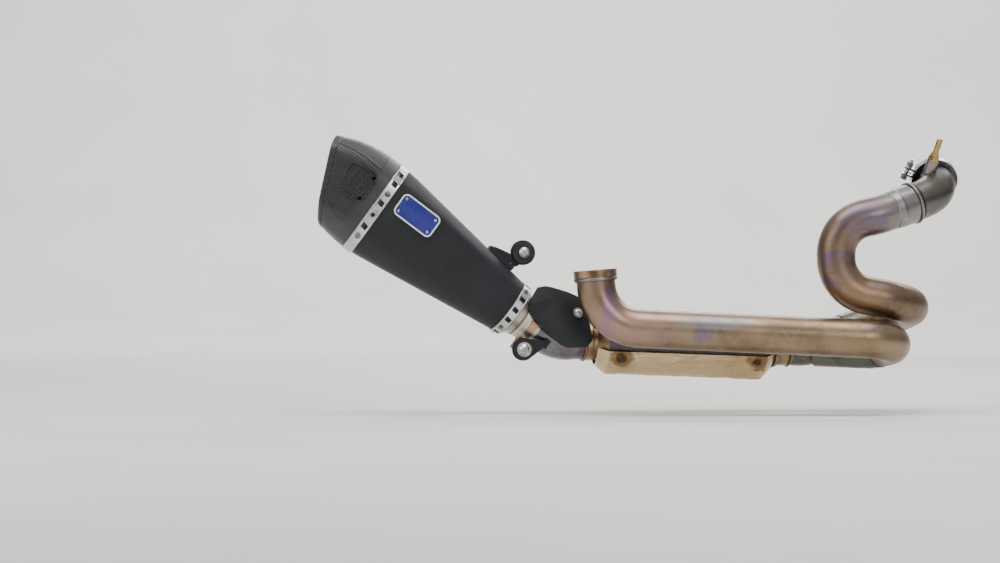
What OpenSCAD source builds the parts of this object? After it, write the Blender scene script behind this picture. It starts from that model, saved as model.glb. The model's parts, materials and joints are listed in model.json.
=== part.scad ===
// Two-into-one racing exhaust: headers, collector, catalyst can, link pipe and silencer.
// Millimetres. +X is forward, +Z is up, the origin is the centre of the front port.

/* [Tubes] */
// Outside diameter of the header and link tubes
tube_d = 58; // [56:0.5:59]
// Wall thickness of the tubes
wall = 1.2; // [0.8:0.1:1.6]
// Radial clearance of the slip joints
slip_gap = 0.05; // [0.03:0.01:0.1]
// Depth of the slip joints between tubes
slip_len = 22; // [16:1:24]

/* [Catalyst can] */
// Outside diameter of the can
can_d = 92; // [86:1:94]
// Clearance between the can and its heat shields
shield_gap = 5; // [4:0.5:6]

/* [Silencer] */
// Angle of the silencer above the horizontal
tilt = 36; // [34:0.5:38]
// Angle of the silencer away from the centre plane
toe_out = 12; // [10:0.5:14]
// Length of the sleeve from the front edge to the end cap
sleeve_len = 239; // [228:1:245]
// Diameter of the round front end of the sleeve
sleeve_front_d = 86; // [84:1:92]
// Height of the rear end of the sleeve
sleeve_rear_h = 150; // [142:1:156]
// Width of the rear end of the sleeve
sleeve_rear_w = 114; // [106:1:118]
// Width of the bright bands
band_w = 16; // [14:1:18]
// Inside diameter of the perforated core
core_d = 56; // [50:1:60]
// Bore of the noise baffle
baffle_d = 34; // [26:1:38]

/* [Fasteners] */
// Bore of both hanger bushes
hanger_bore = 8.5; // [8.2:0.1:9]
// Diameter of the rivet washers on the bands
rivet_d = 9; // [7:0.5:10]

/* [Hidden] */
$fn = 64;

tube_r = tube_d / 2;
eps = 0.01;
// a bend is this much fatter than the straights, which run into it by overlap
bend_swell = 0.12;
overlap = 0.5;

// ---- routes: hand-set corner points, each with a bend radius ----

front_port = [0, 0, 0];
front_corners = [front_port, [3, -44, -21], [-97, -87, -56], [-163, -87, -70], [-160, -87, -169],
                 [-43, -84, -191], [-43, 55, -205]];
front_bends = [0, 60, 80, 56, 56, 58, 56];

can_front = [-244, 0, -256];
can_rear = [-532, -34, -245];
can_dir = unit(can_rear - can_front);
can_len = norm(can_rear - can_front);
// where the two collector arms meet, on the axis of the can
merge_point = can_front - can_dir * 48;

rear_port = [-526, -125, -148];
rear_bend_corner = [-520, -125, -224];
rear_turn_start = [-126, -125, -241.7];
rear_turn_r = 48;
rear_run_dir = unit(rear_turn_start - rear_bend_corner);
rear_turn_side = [0, cos(10), -sin(10)];

elbow_dir = unit(front_corners[2] - front_corners[1]);
// mouth of the header's socket, where the elbow slips in
elbow_joint = front_corners[1] + elbow_dir * 58;
front_leg_dir = unit(merge_point - front_corners[6]);
front_arm_mouth = front_corners[6] + front_leg_dir * 78;

function unit(v) = v / norm(v);
// turning angle at the corner b of the line a, b, c
function bend_angle(a, b, c) = acos(unit(b - a) * unit(c - b));
function setback(a, b, c, r) = r * tan(bend_angle(a, b, c) / 2);
function trim(path, bends, i) =
    (i == 0 || i == len(path) - 1) ? 0 : setback(path[i - 1], path[i], path[i + 1], bends[i]);
// a point on the flat U-turn of the rear header, at an angle round it
function on_turn(angle, r) =
    rear_turn_start + rear_turn_side * rear_turn_r
    + r * (rear_run_dir * sin(angle) - rear_turn_side * cos(angle));
// the corner of two tangents of that turn
function turn_corner(from, to) = on_turn((from + to) / 2, rear_turn_r / cos((to - from) / 2));
function lengthen(path, by) = [
    for (i = [0 : len(path) - 1])
        i == 0 ? path[0] - unit(path[1] - path[0]) * by
        : i == len(path) - 1 ? path[i] + unit(path[i] - path[i - 1]) * by
        : path[i]
];

turn_joint_angle = 130;
rear_corners = [rear_port, rear_bend_corner, turn_corner(0, turn_joint_angle),
                on_turn(turn_joint_angle, rear_turn_r)];
rear_bends = [0, 68, rear_turn_r, 0];
rear_joint = on_turn(turn_joint_angle, rear_turn_r);
rear_joint_dir = rear_run_dir * cos(turn_joint_angle) + rear_turn_side * sin(turn_joint_angle);
rear_arm_corner = rear_joint + rear_joint_dir * 35;

sleeve_front = [-659.5, -63, -192.5];
silencer_dir = [-cos(tilt) * cos(toe_out), -cos(tilt) * sin(toe_out), sin(tilt)];
inlet_len = 59;
link_corner = sleeve_front - silencer_dir * 94;
link_end = sleeve_front - silencer_dir * 26;

// ---- general shapes ----

// puts what is drawn along +Z from the origin on the line from a to b
module from_to(a, b) {
    d = b - a;
    translate(a) rotate([0, acos(d.z / norm(d)), atan2(d.y, d.x)]) children();
}

module bar(a, b, r) {
    from_to(a, b) cylinder(h = norm(b - a), r = r);
}

module bend(a, b, c, bend_r, r) {
    ahead = unit(b - a);
    out = unit(c - b);
    angle = bend_angle(a, b, c);
    inward = unit(out - ahead * (ahead * out));
    centre = b - ahead * setback(a, b, c, bend_r) + inward * bend_r;
    axis = cross(-inward, ahead);
    multmatrix([[-inward.x, ahead.x, axis.x, centre.x],
                [-inward.y, ahead.y, axis.y, centre.y],
                [-inward.z, ahead.z, axis.z, centre.z],
                [0, 0, 0, 1]])
        rotate_extrude(angle = angle) translate([bend_r, 0]) circle(r + bend_swell);
}

// a solid rod along a line with rounded corners
module rod(path, bends, r) {
    last = len(path) - 1;
    for (i = [0 : last - 1]) {
        d = unit(path[i + 1] - path[i]);
        bar(path[i] + d * (trim(path, bends, i) - (i == 0 ? 0 : overlap)),
            path[i + 1] - d * (trim(path, bends, i + 1) - (i + 1 == last ? 0 : overlap)), r);
    }
    for (i = [1 : last - 1])
        bend(path[i - 1], path[i], path[i + 1], bends[i], r);
}

// a tube along such a line, with a socket at either end for the next tube
module tube(path, bends, r, socket_start = false, socket_end = false) {
    n = len(path) - 1;
    ahead = unit(path[1] - path[0]);
    back = unit(path[n - 1] - path[n]);
    difference() {
        union() {
            rod(path, bends, r);
            if (socket_start) bar(path[0], path[0] + ahead * (slip_len + 3), r + slip_gap + wall);
            if (socket_end) bar(path[n], path[n] + back * (slip_len + 3), r + slip_gap + wall);
        }
        rod(lengthen(path, 1), bends, r - wall);
        if (socket_start) bar(path[0] - ahead, path[0] + ahead * slip_len, r + slip_gap);
        if (socket_end) bar(path[n] - back, path[n] + back * slip_len, r + slip_gap);
    }
}

module ring(inner, outer, h) {
    difference() {
        cylinder(h = h, r = outer);
        translate([0, 0, -1]) cylinder(h = h + 2, r = inner);
    }
}

// a button-headed screw pointing along -Z, with a socket in its head
module button_screw(d, length, washer = 0, tip = 0) {
    rise = washer > 0 ? 1.5 : 0;
    // a tip is the threaded end, a little thinner than the shank
    if (tip > 0) translate([0, 0, -length - tip]) cylinder(h = tip + eps, r = d / 2 - 0.5);
    translate([0, 0, -length]) cylinder(h = length + eps, r = d / 2);
    if (washer > 0) cylinder(h = rise, r = washer);
    translate([0, 0, rise - eps]) difference() {
        rotate_extrude() polygon([[0, 0], [d, 0], [d, d * 0.2], [d * 0.55, d * 0.55], [0, d * 0.55]]);
        translate([0, 0, d * 0.25]) cylinder(h = d, r = d * 0.33, $fn = 6);
    }
}

// place of the bolt hole along a clamp's ear
ear_hole = 0.62;

// a round band with two ears on its +X side, split along the gap, ears facing +Y and -Y
module ear_clamp(inner, thick, width, ear, split = 6) {
    difference() {
        union() {
            ring(inner, inner + thick, width);
            translate([inner + thick / 2, -split / 2 - 2.5, 0]) cube([ear, split + 5, width]);
        }
        translate([0, -split / 2, -1]) cube([inner + ear * 2, split, width + 2]);
        translate([0, 0, -1]) cylinder(h = width + 2, r = inner);
        translate([inner + ear * ear_hole, 0, width / 2]) rotate([90, 0, 0])
            cylinder(h = split + 20, r = 3.3, center = true);
    }
}

// ---- the silencer's section: a circle at the front that becomes a rounded eight-sided shape ----

half_h = sleeve_rear_h / 2;
half_w = sleeve_rear_w / 2;
// the eight sides, each as the angle of its normal and its distance from the centre
bevel_angle = 38;
bevel_h = half_h * 0.96;
sides = [[0, half_h], [bevel_angle, bevel_h], [90, half_w], [180 - bevel_angle, bevel_h],
         [180, half_h], [180 + bevel_angle, bevel_h], [270, half_w], [360 - bevel_angle, bevel_h]];
corner_sharpness = 18;
section_steps = 72;

// distance from the centre to the rounded eight-sided outline, at an angle
function side_r(angle) =
    pow(sum([for (s = sides) pow(max(0, cos(angle - s[0]) / s[1]), corner_sharpness)]), -1 / corner_sharpness);
function sum(list, i = 0) = i == len(list) ? 0 : list[i] + sum(list, i + 1);
// blend runs from 0 (round) to 1 (eight-sided)
function section_r(angle, blend) = (1 - blend) * sleeve_front_d / 2 + blend * side_r(angle);
function blend_at(z) = min(max(z / sleeve_len, -0.2), 1);
// slant moves the outer side of a ring rearwards and the inner side forwards
function section_ring(z, grow, slant = 0) = [
    for (i = [0 : section_steps - 1])
        let (a = i * 360 / section_steps, r = section_r(a, blend_at(z)) + grow)
        [r * cos(a), r * sin(a), z - slant * r * sin(a)]
];

// a closed skin through rings of equal size; the rings run up the outside and back down the inside
module skin(rings) {
    n = len(rings[0]);
    m = len(rings);
    points = [for (r = rings) each r];
    faces = [
        for (k = [0 : m - 1], i = [0 : n - 1])
            let (a = k * n, b = ((k + 1) % m) * n, j = (i + 1) % n)
            each [[a + i, b + i, b + j], [a + i, b + j, a + j]]
    ];
    polyhedron(points = points, faces = faces);
}

// a solid between the first and last rings
module solid_loft(rings) {
    n = len(rings[0]);
    m = len(rings);
    points = [for (r = rings) each r];
    faces = concat(
        [[for (i = [0 : n - 1]) i]],
        [[for (i = [0 : n - 1]) (m - 1) * n + n - 1 - i]],
        [for (k = [0 : m - 2], i = [0 : n - 1])
            let (a = k * n, b = (k + 1) * n, j = (i + 1) % n)
            each [[a + i, b + i, b + j], [a + i, b + j, a + j]]]);
    polyhedron(points = points, faces = faces);
}

// a wall from z0 to z1 that follows the sleeve, between two distances from it
module sleeve_wall(z0, z1, inner, outer) {
    skin([section_ring(z0, outer), section_ring(z1, outer), section_ring(z1, inner), section_ring(z0, inner)]);
}

// the silencer's frame: +Z rearwards along its axis, +X up, +Y away from the outer side
module in_silencer() {
    translate(sleeve_front) rotate([0, tilt - 90, toe_out]) children();
}

// the sleeve runs on under the front band
sleeve_start = -17;
cap_z = sleeve_len + 8;
band_z = sleeve_len;
cap_top = 110;
cap_bottom = 57;
// the sleeve's rear end and the outlet are cut at a slant, longer on the outer side
rear_slant = 0.1;
outlet_slant = 0.33;
cap_bulge = 5;
// how much smaller the outlet is than the sleeve
outlet_scale_h = 0.813;
outlet_scale_w = 0.8;
outlet_half_h = half_h * outlet_scale_h;
outlet_drop = 8;
cap_wall = 3;

// ring of the end cap: t runs from 0 at the sleeve to 1 at the outlet
function cap_ring(t, grow) = [
    for (i = [0 : section_steps - 1])
        let (a = i * 360 / section_steps,
             taper = 0.45 * t + 0.55 * t * t,
             u = (side_r(a) * (1 - (1 - outlet_scale_h) * taper) + grow) * cos(a) - outlet_drop * taper
                 + cap_bulge * sin(180 * t) * pow(max(0, cos(a)), 2),
             v = (side_r(a) * (1 - (1 - outlet_scale_w) * taper) + grow) * sin(a),
             start_z = cap_z - rear_slant * v,
             end_z = cap_z + (cap_top + cap_bottom) / 2 - outlet_slant * v
                     + (u + outlet_drop) * (cap_top - cap_bottom) / (2 * outlet_half_h))
        [u, v, start_z + t * (end_z - start_z) + (1 - t) * 0.2]
];
// how far the cap swells between its ends
function cap_swell(t) = min(1, 3 * t, 3 * (1 - t));

// ---- front pipe ----

module front_gasket() {
    color("#9a8f7c") from_to(front_port, front_corners[1]) translate([0, 0, -3.2]) ring(tube_r - 0.7, front_clamp_in - 0.1, 3);
}

module front_elbow() {
    path = [front_port, front_corners[1], elbow_joint + elbow_dir * (slip_len - 1)];
    color("#4a4744") difference() {
        union() {
            tube(path, front_bends, tube_r);
            from_to(front_port, front_corners[1]) translate([0, 0, 0.3]) ring(tube_r - wall / 2, front_clamp_in - 0.1, 5);
        }
        in_sensor_seat() translate([0, 0, -22]) cylinder(h = 36, r = 5.1);
    }
}

module front_joint_bead() {
    color("#7d7f86") from_to(elbow_joint, front_corners[2]) translate([0, 0, -7]) rotate_extrude() difference() {
        translate([tube_r + 1.2, 3]) circle(2.6);
        square([tube_r + slip_gap, 8]);
    }
}

// the frame of the oxygen sensor: +Z out along the sensor from the elbow's wall
sensor_root = [-18, -28, -6];
sensor_dir = unit([28, -30, 94]);
module in_sensor_seat() {
    from_to(sensor_root + sensor_dir * 33, sensor_root + sensor_dir * 60) children();
}

module sensor_boss() {
    path = [front_port, front_corners[1], elbow_joint];
    color("#8a857c") difference() {
        in_sensor_seat() difference() {
            translate([0, 0, -20]) cylinder(h = 24, r = 9);
            translate([0, 0, -21]) cylinder(h = 26, r = 5.1);
        }
        rod(lengthen(path, 1), front_bends, tube_r + 0.02);
    }
}

module oxygen_sensor() {
    color("#b08a4a") in_sensor_seat() {
        translate([0, 0, -14]) cylinder(h = 20, r = 5);
        translate([0, 0, 4.3]) cylinder(h = 2, r = 8.5);
        translate([0, 0, 6.2]) cylinder(h = 6, r = 9, $fn = 6);
        translate([0, 0, 12.1]) cylinder(h = 5, r = 6.5);
        translate([0, 0, 17]) cylinder(h = 20, r = 4.6);
        translate([0, 0, 36.9]) cylinder(h = 3, r1 = 4.6, r2 = 3);
    }
}

clamp_thick = 1.2;
clamp_in = tube_r + 2.5;
// the front port has a wider flange and clamp than the rear one
front_clamp_in = tube_r + 6;
front_ear = 18;
rear_ear = 15;
module in_front_clamp() {
    from_to(front_port, front_corners[1]) rotate([0, 0, 250]) translate([0, 0, -5]) children();
}

module front_port_clamp() {
    color("#b9bcc0") in_front_clamp() {
        ear_clamp(front_clamp_in, clamp_thick, 11, front_ear, 9);
        difference() {
            translate([front_clamp_in + front_ear * ear_hole, 0, 5.5]) rotate([90, 0, 0]) cylinder(h = 17, r = 5, center = true);
            translate([front_clamp_in + front_ear * ear_hole, 0, 5.5]) rotate([90, 0, 0])
                cylinder(h = 40, r = 3.3, center = true);
            translate([0, -4.5, -1]) cube([front_clamp_in * 2, 9, 13]);
        }
    }
}

module front_clamp_bolt() {
    color("#d6d6d6") in_front_clamp() translate([front_clamp_in + front_ear * ear_hole, 0, 5.5]) rotate([90, 0, 0]) {
        translate([0, 0, -14]) cylinder(h = 34, r = 3);
        translate([0, 0, -14]) cylinder(h = 5, r = 5.4, $fn = 6);
    }
}

module front_clamp_nut() {
    color("#c8c8c8") in_front_clamp() translate([front_clamp_in + front_ear * ear_hole, 0, 5.5]) rotate([90, 0, 0])
        translate([0, 0, 8.9]) difference() {
            cylinder(h = 7, r = 5.6, $fn = 6);
            translate([0, 0, -1]) cylinder(h = 9, r = 3.05);
        }
}

module front_header() {
    path = [elbow_joint, front_corners[2], front_corners[3], front_corners[4], front_corners[5],
            front_corners[6], front_arm_mouth + front_leg_dir * (slip_len - 1)];
    bends = [0, front_bends[2], front_bends[3], front_bends[4], front_bends[5], front_bends[6], 0];
    color("#8d7864") tube(path, bends, tube_r, socket_start = true);
}

// ---- rear pipe ----

module rear_header() {
    n = len(rear_corners) - 1;
    path = [for (i = [0 : n]) i == n ? rear_joint + rear_joint_dir * (slip_len - 1) : rear_corners[i]];
    color("#9c8467") tube(path, rear_bends, tube_r);
}

module rear_port_ring() {
    color("#8b8379") from_to(rear_port, rear_bend_corner)
        rotate_extrude() difference() {
            union() {
                translate([tube_r + 1, 5]) circle(3);
                translate([tube_r + 0.05, 0]) square([2.4, 5]);
            }
            square([tube_r + 0.05, 10]);
        }
}

module rear_gasket() {
    color("#9a8f7c") from_to(rear_port, rear_bend_corner) translate([0, 0, -3.2]) ring(tube_r - 0.7, tube_r + 2.4, 3);
}

module in_rear_clamp() {
    from_to(rear_port, rear_bend_corner) rotate([0, 0, 100]) translate([0, 0, -9]) children();
}

module rear_port_clamp() {
    color("#a08c78") in_rear_clamp() ear_clamp(clamp_in, clamp_thick, 11, rear_ear, 9);
}

module rear_clamp_bolt() {
    color("#c8c8c8") in_rear_clamp() translate([clamp_in + rear_ear * ear_hole, 0, 5.5]) rotate([90, 0, 0]) {
        translate([0, 0, -12.1]) cylinder(h = 30, r = 3);
        translate([0, 0, -12.1]) cylinder(h = 5, r = 5.4, $fn = 6);
    }
}

module rear_clamp_nut() {
    color("#b8b8b8") in_rear_clamp() translate([clamp_in + rear_ear * ear_hole, 0, 5.5]) rotate([90, 0, 0])
        translate([0, 0, 7.2]) difference() {
            cylinder(h = 6, r = 5.6, $fn = 6);
            translate([0, 0, -1]) cylinder(h = 8, r = 3.05);
        }
}

// ---- collector and catalyst can ----

// the front arm runs on as the outlet; the rear arm is a branch saddled on to it
main_path = [front_arm_mouth, merge_point, can_front + can_dir * 6];
main_bends = [0, 70, 0];
branch_dir = unit(merge_point - rear_arm_corner);
outlet_start = merge_point + can_dir * 30;

module collector() {
    path = [front_arm_mouth, merge_point, outlet_start];
    color("#5e5f58") difference() {
        tube(path, main_bends, tube_r, socket_start = true);
        bar(rear_arm_corner, merge_point - branch_dir * 12, tube_r - 4);
    }
}

module collector_branch() {
    path = [rear_joint, rear_arm_corner, merge_point - branch_dir * 14];
    color("#64655e") difference() {
        tube(path, [0, 30, 0], tube_r, socket_start = true);
        rod(main_path, main_bends, tube_r + 0.05);
        bar(front_arm_mouth, front_arm_mouth + front_leg_dir * (slip_len + 3), tube_r + slip_gap + wall + 0.1);
    }
}

module collector_outlet() {
    color("#9c8560") difference() {
        bar(outlet_start + can_dir * 0.05, can_front + can_dir * 6, tube_r + 0.5);
        bar(outlet_start - can_dir, can_front + can_dir * 8, tube_r - wall);
    }
}

module in_can() {
    from_to(can_front, can_rear) children();
}

can_r = can_d / 2;
can_cone = 24;
// the can stops short of the link pipe's first bend
can_tail = 3;
module can_profile(r, grow) {
    polygon([[0, -1], [tube_r + grow + 1.1, -1], [tube_r + grow + 1.1, 6], [r, can_cone], [r, can_len - can_cone],
             [tube_r + grow, can_len - 9], [tube_r + grow, can_len - can_tail], [0, can_len - can_tail]]);
}

module catalyst_can() {
    color("#b8a78a") in_can() difference() {
        rotate_extrude() can_profile(can_r, wall + 0.15);
        rotate_extrude() can_profile(can_r - 1.5, 0.2);
        translate([0, 0, -2]) cylinder(h = 2, r = can_r);
        translate([0, 0, can_len - can_tail - 1]) cylinder(h = 2, r = tube_r + 0.2);
    }
}

brick_start = can_cone + 14;
brick_end = can_len - can_cone - 100;
module catalyst_mat() {
    color("#d8d3c4") in_can() translate([0, 0, brick_start]) ring(can_r - 6, can_r - 1.55, brick_end - brick_start);
}

module catalyst_brick() {
    cell = 13;
    color("#a39a80") in_can() translate([0, 0, brick_start]) difference() {
        cylinder(h = brick_end - brick_start, r = can_r - 6.05);
        for (i = [-2 : 2], j = [-2 : 2])
            if (i * i + j * j < 7)
                translate([i * cell, j * cell, -1]) cylinder(h = can_len, r = 5, $fn = 24);
    }
}

// a curved sheet round the can, between two angles
module can_sheet(from, to, z0, z1, inner, thick) {
    in_can() translate([0, 0, z0]) rotate([0, 0, from])
        rotate_extrude(angle = to - from) translate([inner, 0]) square([thick, z1 - z0]);
}

shield_in = can_r + shield_gap;
lower_from = -92;
lower_to = 72;
upper_to = 150;
shield_t = 0.8;
// the lower shield's profile: distance from the axis of the can, and place along it
shield_line = [[tube_r + 6, can_cone - 14], [shield_in, can_cone], [shield_in, can_len - can_cone],
               [tube_r + 8, can_len - can_cone + 16]];
module lower_heat_shield() {
    color("#cdb999") {
        in_can() rotate([0, 0, lower_from]) rotate_extrude(angle = lower_to - lower_from)
            polygon([for (side = [0, 1], k = [0 : 3]) let (p = shield_line[side == 0 ? k : 3 - k]) [p[0] + side * shield_t, p[1]]]);
    }
}

module upper_heat_shield() {
    color("#3c3c44") can_sheet(lower_to + 2, upper_to, can_cone, can_len - can_cone, can_r + 0.4, 3.4);
}

rivet_places = [[0.92, -68], [0.06, -68], [0.92, 60], [0.06, 60]];
module shield_rivets() {
    color("#4b4038") in_can() for (p = rivet_places)
        rotate([0, 0, p[1]]) translate([shield_in + 0.85, 0, can_cone + p[0] * (can_len - 2 * can_cone)])
            rotate([0, 90, 0]) cylinder(h = 1.6, r1 = 3.2, r2 = 2.2);
}

// ---- link pipe, cover and lower hanger ----

link_path = [can_rear - can_dir * 14, can_rear, link_corner, link_end];
link_bends = [0, 35, 58, 0];
module link_pipe() {
    color("#7a7470") tube(link_path, link_bends, tube_r);
}

module link_joint_ring() {
    color("#77787c") from_to(can_rear, link_corner) translate([0, 0, 2]) rotate_extrude() difference() {
        union() {
            translate([tube_r + 0.2, 0]) square([2.2, 13]);
            translate([tube_r + 1.6, 10.5]) circle(2.4);
        }
        square([tube_r + 0.2, 20]);
    }
}

// the cover is one folded sheet: its outline and its fold line, as X, Z and how far it stands out in -Y
cover_points = [
    [-612, -165, 80], [-600, -163, 82], [-589, -165, 74], [-566, -172, 70], [-546, -181, 66], [-539, -194, 70],
    [-532, -224, 76], [-529, -246, 82], [-538, -256, 87], [-568, -256, 91], [-577, -252, 92], [-601, -231, 93],
    [-616, -213, 92], [-629, -193, 90],
    [-562, -200, 84], [-546, -232, 86], [-596, -182, 90]
];
cover_faces = [
    [0, 13, 1], [1, 13, 16], [13, 12, 16], [12, 11, 16], [11, 14, 16], [11, 10, 14], [10, 15, 14], [10, 9, 15],
    [9, 8, 15], [8, 7, 15], [7, 6, 15], [6, 14, 15], [6, 5, 14], [5, 4, 14], [4, 3, 14], [3, 2, 14], [2, 16, 14],
    [2, 1, 16]
];
cover_thick = 1.2;
module link_cover() {
    n = len(cover_points);
    rim = 14;
    front = [for (p = cover_points) [p[0], -p[2], p[1]]];
    back = [for (p = cover_points) [p[0], -p[2] + cover_thick, p[1]]];
    color("#2b2f31") difference() {
        polyhedron(points = concat(front, back), faces = concat(
            cover_faces,
            [for (f = cover_faces) [f[2] + n, f[1] + n, f[0] + n]],
            [for (i = [0 : rim - 1]) let (j = (i + 1) % rim) each [[i, j, j + n], [i, j + n, i + n]]]));
        in_cover_screw() cylinder(h = 40, r = 3.2, center = true);
        in_silencer() translate([0, 0, -31]) cylinder(h = 40, r1 = 35, r2 = 42);
    }
}

module in_cover_screw() {
    translate([-552, -80, -204]) rotate([90, 0, 0]) rotate([-16, 28, 0]) children();
}

module cover_screw() {
    color("#c9cbcd") in_cover_screw() translate([0, 0, 1.2]) button_screw(5, 16, 8);
}

module cover_standoffs() {
    color("#8f8c86") difference() {
        union() {
            in_cover_screw() translate([0, 0, -44]) cylinder(h = 41.9, r = 6);
            from_to([-592, -60, -231], [-592, -91.2, -225]) cylinder(h = 29.4, r = 5);
        }
        rod(lengthen(link_path, 1), link_bends, tube_r + 0.02);
        in_can() translate([0, 0, -2]) cylinder(h = can_len + 2, r = tube_r + 16);
        in_cover_screw() translate([0, 0, -18]) cylinder(h = 40, r = 2.6);
        in_silencer() translate([0, 0, -inlet_len - 3]) cylinder(h = 90, r = tube_r + 5);
    }
}

// the lower hanger, in the silencer's frame: [up, along, side] of its bush
lower_bush = [-42.5, -54];
lower_side = -37;
module in_lower_bush() {
    in_silencer() translate([lower_bush[0], lower_side, lower_bush[1]]) rotate([90, 0, 0]) children();
}

module lower_lug() {
    color("#1c1c1e") difference() {
        union() {
            in_lower_bush() translate([0, 0, -3]) linear_extrude(3) hull() {
                circle(17);
                translate([20, -16]) circle(6);
                translate([25, -20]) circle(5);
            }
            in_silencer() translate([-22, -36, -82]) cube([14, 20, 8]);
        }
        in_lower_bush() cylinder(h = 30, r = 13.1, center = true);
        rod(lengthen(link_path, 1), link_bends, tube_r + 0.02);
    }
}

module lower_rubber() {
    color("#141414") in_lower_bush() difference() {
        translate([0, 0, -9]) {
            cylinder(h = 14, r = 13);
            translate([0, 0, 9.1]) cylinder(h = 4.9, r = 15);
        }
        translate([0, 0, -10]) cylinder(h = 30, r = 6.3);
    }
}

module lower_sleeve() {
    color("#a9abad") in_lower_bush() translate([0, 0, -9.5]) ring(hanger_bore / 2, 6.25, 15);
}

module lower_bolt() {
    color("#c9cbcd") in_lower_bush() translate([0, 0, 5.6]) button_screw(8, 25, 11);
}

// ---- silencer inlet ----

inlet_r = tube_r + slip_gap;
module inlet_sleeve() {
    color("#cfc6b8") in_silencer() difference() {
        translate([0, 0, -inlet_len]) cylinder(h = 34, r = inlet_r + 1.2);
        translate([0, 0, -inlet_len - 1]) cylinder(h = 44, r = inlet_r);
        for (a = [0, 90])
            rotate([0, 0, a]) translate([-50, -1, -inlet_len - 1]) cube([100, 2, 20]);
    }
}

module inlet_cone() {
    r0 = inlet_r + 1.25;
    cone_r = sleeve_front_d / 2 - 6;
    color("#cfc6b8") in_silencer() rotate_extrude() polygon([
        [r0, -36], [r0 + 1.2, -36], [r0 + 1.2, -29], [cone_r, sleeve_start - 0.3], [cone_r - 2.4, sleeve_start - 0.3],
        [r0, -30]]);
}

module in_inlet_clamp() {
    in_silencer() translate([0, 0, -inlet_len + 5]) rotate([0, 0, 184]) children();
}
inlet_clamp_in = inlet_r + 1.25;
inlet_ear = 16;

module inlet_clamp() {
    color("#b0927a") in_inlet_clamp() ear_clamp(inlet_clamp_in, 1.4, 12, inlet_ear, 8);
}

module inlet_clamp_bolt() {
    color("#c0c2c4") in_inlet_clamp() translate([inlet_clamp_in + inlet_ear * ear_hole, 0, 6]) rotate([90, 0, 0]) {
        translate([0, 0, -11.6]) cylinder(h = 28, r = 3);
        translate([0, 0, -11.6]) cylinder(h = 5, r = 5.4, $fn = 6);
    }
}

module inlet_clamp_nut() {
    color("#b4b6b8") in_inlet_clamp() translate([inlet_clamp_in + inlet_ear * ear_hole, 0, 6]) rotate([90, 0, 0])
        translate([0, 0, 6.7]) difference() {
            cylinder(h = 6, r = 5.6, $fn = 6);
            translate([0, 0, -1]) cylinder(h = 8, r = 3.05);
        }
}

// ---- silencer body ----

sleeve_wall_t = 1.4;
rear_bulkhead_z = sleeve_len - 16;
module silencer_sleeve() {
    color("#2d2f33") in_silencer() skin([
        section_ring(sleeve_start, 0), section_ring(rear_bulkhead_z, 0), section_ring(cap_z - 0.3, 0, rear_slant),
        section_ring(cap_z - 0.3, -sleeve_wall_t, rear_slant), section_ring(rear_bulkhead_z, -sleeve_wall_t),
        section_ring(sleeve_start, -sleeve_wall_t)]);
}

module front_bulkhead() {
    color("#9fa0a2") in_silencer() translate([0, 0, sleeve_start + 0.2]) difference() {
        cylinder(h = 2, r = section_r(0, blend_at(sleeve_start)) - sleeve_wall_t - 0.4);
        translate([0, 0, -1]) cylinder(h = 4, r = core_d / 2 + 1.3);
    }
}

module rear_bulkhead() {
    color("#9fa0a2") in_silencer() translate([0, 0, rear_bulkhead_z]) difference() {
        linear_extrude(2) polygon([for (p = section_ring(rear_bulkhead_z - 1, -sleeve_wall_t - 0.5)) [p[0], p[1]]]);
        translate([0, 0, -1]) cylinder(h = 4, r = core_d / 2 + 1.3);
    }
}

module core_tube() {
    hole_pitch = 26;
    color("#8c8e90") in_silencer() difference() {
        translate([0, 0, -19]) cylinder(h = cap_z + 25, r = core_d / 2 + 1.2);
        translate([0, 0, -20]) cylinder(h = cap_z + 27, r = core_d / 2);
        for (k = [1 : 7], a = [0 : 60 : 120])
            translate([0, 0, k * hole_pitch]) rotate([90, 0, a + k * 30]) cylinder(h = core_d * 2, r = 4, center = true);
    }
}

module packing() {
    color("#e6dfc8") in_silencer() difference() {
        solid_loft([section_ring(sleeve_start + 8, -sleeve_wall_t - 1.2), section_ring(rear_bulkhead_z - 8, -sleeve_wall_t - 1.2),
                    section_ring(rear_bulkhead_z - 1, -sleeve_wall_t - 1.2)]);
        translate([0, 0, -30]) cylinder(h = cap_z + 40, r = core_d / 2 + 1.5);
    }
}

// a four-sided window through a band, narrower on one side
module band_window(length) {
    rotate([90, 0, 0]) linear_extrude(60)
        polygon([[-length / 2, -4.7], [length / 2 - 1, -4.7], [length / 2 + 1, 4.7], [-length / 2 + 1, 4.7]]);
}

// places up the band of its windows, rivets and round hole
window_places = [-38, 4, 39, 57];
rivet_at = [-55, 21];
hole_at = -17;
// distance of the outer side of the rear section from the middle, at a height x on it
function band_face(x) = let (a = atan2(side_face, abs(x))) side_r(a) * sin(a);
function band_mid(x, side) = band_z + band_w / 2 + (side == 0 ? 1 : -1) * rear_slant * band_face(x);

module rear_band() {
    color("#d0d0d0") in_silencer() difference() {
        skin([section_ring(band_z, 1.9, rear_slant), section_ring(band_z + band_w, 1.9, rear_slant),
              section_ring(band_z + band_w, 0.4, rear_slant), section_ring(band_z, 0.4, rear_slant)]);
        for (side = [0, 180], x = window_places)
            translate([0, 0, band_mid(x, side)]) rotate([0, 0, side]) translate([x, -20, 0]) band_window(9);
        for (side = [0, 180])
            translate([0, 0, band_mid(hole_at, side)]) rotate([0, 0, side]) translate([hole_at, -20, 0])
                rotate([90, 0, 0]) cylinder(h = 60, r = 3.5);
    }
}

// a rivet on the band: washer and domed head, standing along +Z
module rivet() {
    cylinder(h = 0.8, r = rivet_d / 2);
    translate([0, 0, 0.8 - eps]) cylinder(h = 1, r1 = rivet_d / 4, r2 = rivet_d / 5);
}

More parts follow.
